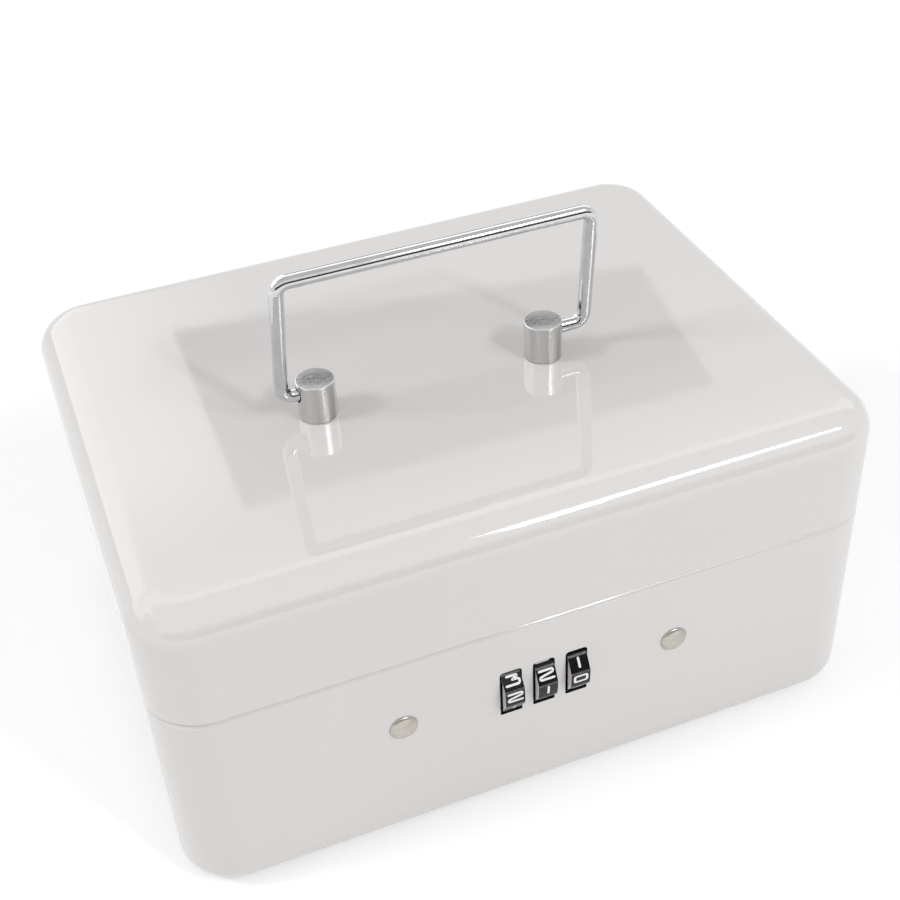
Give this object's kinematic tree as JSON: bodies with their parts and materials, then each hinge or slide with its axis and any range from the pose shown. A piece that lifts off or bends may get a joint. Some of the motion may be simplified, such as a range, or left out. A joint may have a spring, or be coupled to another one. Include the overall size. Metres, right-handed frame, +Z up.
{
  "type": "lock box",
  "caption": "Small white steel lock box with a hinged lid, a folding wire bail handle on two posts and a combination lock with black number dials in the front wall.",
  "frame": {"origin": "middle of the flat underside", "axes": "+X to the right along the front, +Y to the rear where the hinges are, +Z up; the dials face -Y"},
  "size_m": [0.152, 0.1184, 0.1109],
  "materials": {
    "white_paint": "gloss white powder coat on steel sheet",
    "satin_chrome": "satin chrome plate, finely turned",
    "bright_chrome": "bright chrome plate on bent wire",
    "nickel": "warm grey nickel plate",
    "zinc_plate": "bright zinc plate on steel",
    "cast_zinc": "dull die-cast zinc",
    "bright_steel": "drawn steel, fine lengthwise lines",
    "spring_steel": "dark drawn spring wire",
    "black_plastic": "gloss black moulded plastic"
  },
  "bodies": {
    "box": {"body_shell": "white_paint", "hinge_body_leaf_left": "zinc_plate", "hinge_pin_left": "bright_steel", "hinge_body_leaf_right": "zinc_plate", "hinge_pin_right": "bright_steel", "lock_case": "cast_zinc", "lock_back_cover": "zinc_plate", "cover_screw_left": "zinc_plate", "cover_screw_right": "zinc_plate", "lock_rivet_left": "nickel", "lock_rivet_right": "nickel", "dial_axle": "bright_steel", "axle_clip": "spring_steel", "sleeve_return_spring": "spring_steel", "dial_detent_spring": "spring_steel", "latch_rod": "bright_steel", "latch_spring": "spring_steel"},
    "lid": {"lid_shell": "white_paint", "hinge_lid_leaf_left": "zinc_plate", "hinge_lid_leaf_right": "zinc_plate", "lid_striker": "zinc_plate", "handle_post_left": "satin_chrome", "handle_post_right": "satin_chrome", "handle_washer_left": "zinc_plate", "handle_screw_left": "zinc_plate", "handle_washer_right": "zinc_plate", "handle_screw_right": "zinc_plate"},
    "bail": {"handle_bail": "bright_chrome"},
    "dial_left": {"dial_left": "black_plastic"},
    "dial_middle": {"dial_middle": "black_plastic"},
    "dial_right": {"dial_right": "black_plastic"},
    "latch": {"latch_lever": "zinc_plate"},
    "code_sleeves": {"code_sleeve_left": "cast_zinc", "code_sleeve_middle": "cast_zinc", "code_sleeve_right": "cast_zinc", "code_change_slider": "zinc_plate"}
  },
  "joints": [
    {"name": "lid_hinge", "type": "hinge", "parent": "box", "child": "lid", "pos_m": [0, 0.0569, 0.0503], "axis": [-1, 0, 0], "range_deg": [0, 105]},
    {"name": "bail_swing", "type": "hinge", "parent": "lid", "child": "bail", "pos_m": [-0.002, -0.0097, 0.0819], "axis": [1, 0, 0], "range_deg": [-104.5, 92]},
    {"name": "dial_left_spin", "type": "hinge", "parent": "box", "child": "dial_left", "pos_m": [-0.00712, -0.05385, 0.0328], "axis": [1, 0, 0], "continuous": true},
    {"name": "dial_middle_spin", "type": "hinge", "parent": "box", "child": "dial_middle", "pos_m": [0, -0.05385, 0.0328], "axis": [1, 0, 0], "continuous": true},
    {"name": "dial_right_spin", "type": "hinge", "parent": "box", "child": "dial_right", "pos_m": [0.00712, -0.05385, 0.0328], "axis": [1, 0, 0], "continuous": true},
    {"name": "latch_swing", "type": "hinge", "parent": "box", "child": "latch", "pos_m": [0, -0.0459, 0.0379], "axis": [1, 0, 0], "range_deg": [0, 8.9], "stiffness_Nm_per_rad": 0.01, "springref_deg": -28.65},
    {"name": "code_change_slide", "type": "slide", "parent": "box", "child": "code_sleeves", "axis": [1, 0, 0], "range_m": [-0.001, 0]}
  ]
}
